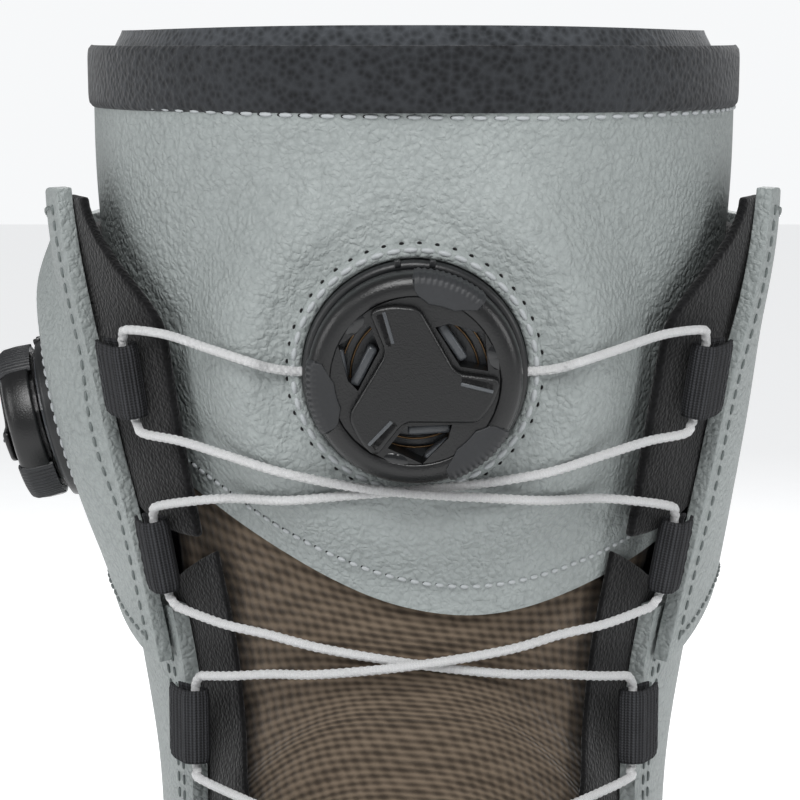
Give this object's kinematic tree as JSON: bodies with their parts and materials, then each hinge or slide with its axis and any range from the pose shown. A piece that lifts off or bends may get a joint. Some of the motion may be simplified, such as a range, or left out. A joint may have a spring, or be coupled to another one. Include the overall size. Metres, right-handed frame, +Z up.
{
  "type": "snowboard boot",
  "caption": "Right snowboard boot with a winding dial on the tongue, a second dial on the outer ankle, and a cord lace through webbing loops.",
  "frame": {"origin": "on the ground under the arch, at the middle of the arch pad of the outsole", "axes": "+Z up, toe towards -Y, outer side of the foot towards -X"},
  "size_m": [0.1354, 0.3159, 0.2937],
  "materials": {
    "leather": "pebbled satin",
    "lining": "matt",
    "textile": "knitted",
    "webbing": "woven ribs",
    "lace": "braided",
    "rand": "matt",
    "sole_rubber": "matt",
    "liner": "matt",
    "midsole": "matt foam",
    "board": "matt",
    "dial_plastic": "fine texture",
    "dial_cap": "fine texture",
    "dial_grip": "satin",
    "dial_inner": "satin",
    "steel": "satin"
  },
  "bodies": {
    "lower": {"footbed": "liner", "gusset_inner": "lining", "gusset_outer": "lining", "heel_counter": "rand", "insole_board": "board", "lace_crossing_a": "lace", "lace_crossing_b": "lace", "lace_lower": "lace", "liner_ankle_flex": "liner", "liner_foot": "liner", "loop_inner_3": "webbing", "loop_inner_4": "webbing", "loop_inner_5": "webbing", "loop_outer_3": "webbing", "loop_outer_4": "webbing", "loop_outer_5": "webbing", "lower_shell": "leather", "midsole": "midsole", "outsole_arch_pad": "sole_rubber", "outsole_forefoot": "sole_rubber", "outsole_heel": "sole_rubber", "toe_cap": "rand", "tongue_flex_panel": "textile", "tongue_shield": "leather"},
    "cuff": {"cuff_backstay": "rand", "cuff_lining": "lining", "cuff_shell": "leather", "front_dial_axle": "steel", "front_dial_base": "dial_plastic", "front_dial_flange": "dial_plastic", "lace_upper_a": "lace", "lace_upper_b": "lace", "liner_leg": "liner", "loop_inner_1": "webbing", "loop_inner_2": "webbing", "loop_outer_1": "webbing", "loop_outer_2": "webbing", "side_dial_axle": "steel", "side_dial_base": "dial_plastic", "side_dial_flange": "dial_plastic", "tongue_binding": "webbing", "tongue_foam": "liner", "tongue_panel": "leather"},
    "front_lift": {"front_dial_bushing": "dial_plastic"},
    "front_turn": {"front_dial_cap": "dial_cap", "front_dial_drive_disc": "dial_inner", "front_dial_knob_core": "dial_plastic", "front_dial_knob_grip": "dial_grip"},
    "front_spool": {"front_dial_spool": "dial_inner"},
    "side_lift": {"side_dial_bushing": "dial_plastic"},
    "side_turn": {"side_dial_cap": "dial_cap", "side_dial_drive_disc": "dial_inner", "side_dial_knob_core": "dial_plastic", "side_dial_knob_grip": "dial_grip"},
    "side_spool": {"side_dial_spool": "dial_inner"}
  },
  "joints": [
    {"name": "cuff_flex", "type": "hinge", "parent": "lower", "child": "cuff", "pos_m": [0, 0.062, 0.13], "axis": [1, 0, 0], "range_deg": [0, 6], "stiffness_Nm_per_rad": 60, "deforming": ["tongue_flex_panel", "liner_ankle_flex", "lace_crossing_a", "lace_crossing_b", "gusset_outer", "gusset_inner"]},
    {"name": "front_dial_lift", "type": "slide", "parent": "cuff", "child": "front_lift", "axis": [0, -0.9976, -0.0698], "range_m": [0, 0.0026]},
    {"name": "front_dial_turn", "type": "hinge", "parent": "front_lift", "child": "front_turn", "pos_m": [0, -0.00106, 0.24022], "axis": [0, -0.9976, -0.0698], "continuous": true},
    {"name": "front_spool_turn", "type": "hinge", "parent": "cuff", "child": "front_spool", "pos_m": [0, -0.00106, 0.24022], "axis": [0, -0.9976, -0.0698], "continuous": true},
    {"name": "side_dial_lift", "type": "slide", "parent": "cuff", "child": "side_lift", "axis": [-0.9703, 0, -0.2419], "range_m": [0, 0.0026]},
    {"name": "side_dial_turn", "type": "hinge", "parent": "side_lift", "child": "side_turn", "pos_m": [-0.05998, 0.06377, 0.22529], "axis": [-0.9703, 0, -0.2419], "continuous": true},
    {"name": "side_spool_turn", "type": "hinge", "parent": "cuff", "child": "side_spool", "pos_m": [-0.05998, 0.06377, 0.22529], "axis": [-0.9703, 0, -0.2419], "continuous": true}
  ],
  "couplings": [
    {"joint": "front_spool_turn", "follows": "front_dial_turn", "ratio": 1},
    {"joint": "side_spool_turn", "follows": "side_dial_turn", "ratio": 1}
  ]
}
